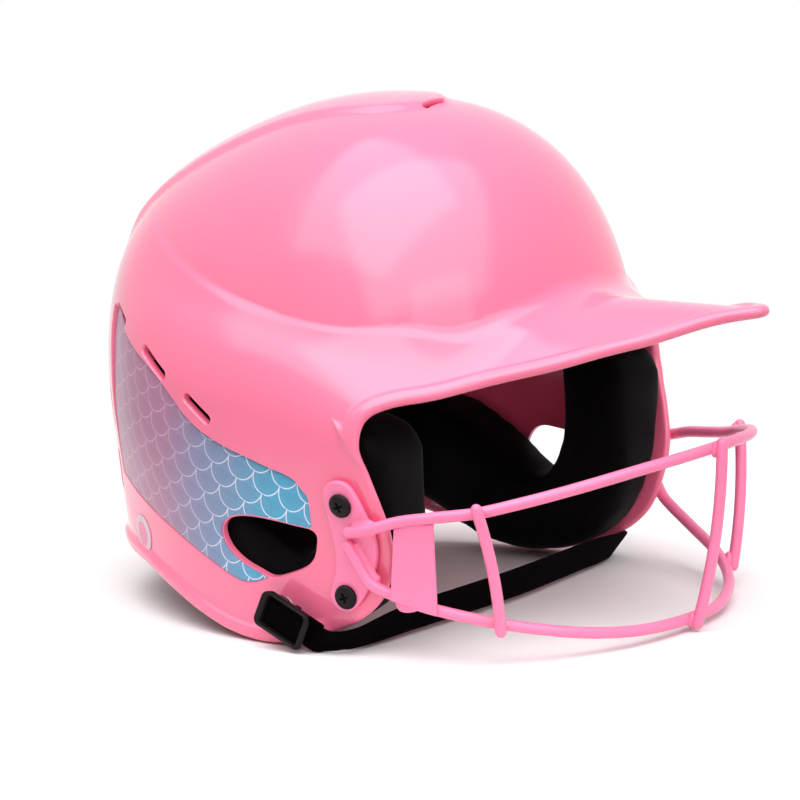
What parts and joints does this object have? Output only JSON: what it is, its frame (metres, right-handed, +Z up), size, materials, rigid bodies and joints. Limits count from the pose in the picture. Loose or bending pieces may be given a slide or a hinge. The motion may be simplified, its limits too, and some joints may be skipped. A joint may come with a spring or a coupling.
{
  "type": "softball batting helmet",
  "caption": "Moulded batting helmet with brim, ear flaps, foam liner, bolted wire face guard and press-stud chin strap",
  "frame": {"origin": "centre of the head opening, at the level the helmet stands on", "axes": "+X the wearer's left, -Y the front of the helmet, +Z up"},
  "size_m": [0.2278, 0.3163, 0.2142],
  "materials": {
    "shell": "gloss",
    "decal": "satin",
    "label": "matte",
    "liner": "matte",
    "guard": "satin",
    "screw": "satin",
    "hardware": "satin",
    "buckle": "satin",
    "webbing": "matte"
  },
  "bodies": {
    "helmet": {"shell": "shell", "decal_right": "decal", "decal_left": "decal", "safety_sticker": "label", "pad_brow": "liner", "pad_crown": "liner", "pad_neck_right": "liner", "pad_neck_left": "liner", "pad_jaw_right": "liner", "pad_jaw_left": "liner", "pad_cheek_right": "liner", "pad_cheek_left": "liner", "guard_wire_top": "guard", "guard_wire_bottom": "guard", "guard_bar_right": "guard", "guard_bar_centre": "guard", "guard_bar_left": "guard", "guard_blade": "guard", "guard_plate_right": "guard", "guard_plate_left": "guard", "screw_upper_right": "screw", "screw_lower_right": "screw", "screw_upper_left": "screw", "screw_lower_left": "screw", "nut_upper_right": "hardware", "nut_lower_right": "hardware", "nut_upper_left": "hardware", "nut_lower_left": "hardware", "snap_stud_right": "hardware", "snap_stud_left": "hardware"},
    "chin_strap": {"strap_web": "webbing", "strap_tail": "webbing", "snap_cap_right": "buckle", "snap_cap_left": "buckle"},
    "buckle": {"buckle": "buckle"}
  },
  "joints": [
    {"name": "chin_strap_swing", "type": "hinge", "parent": "helmet", "child": "chin_strap", "pos_m": [0, -0.0095, 0.0154], "axis": [1, 0, 0], "range_deg": [0, 110]},
    {"name": "buckle_slide", "type": "slide", "parent": "chin_strap", "child": "buckle", "axis": [0, -0.9102, -0.4141], "range_m": [0, 0.006]}
  ]
}
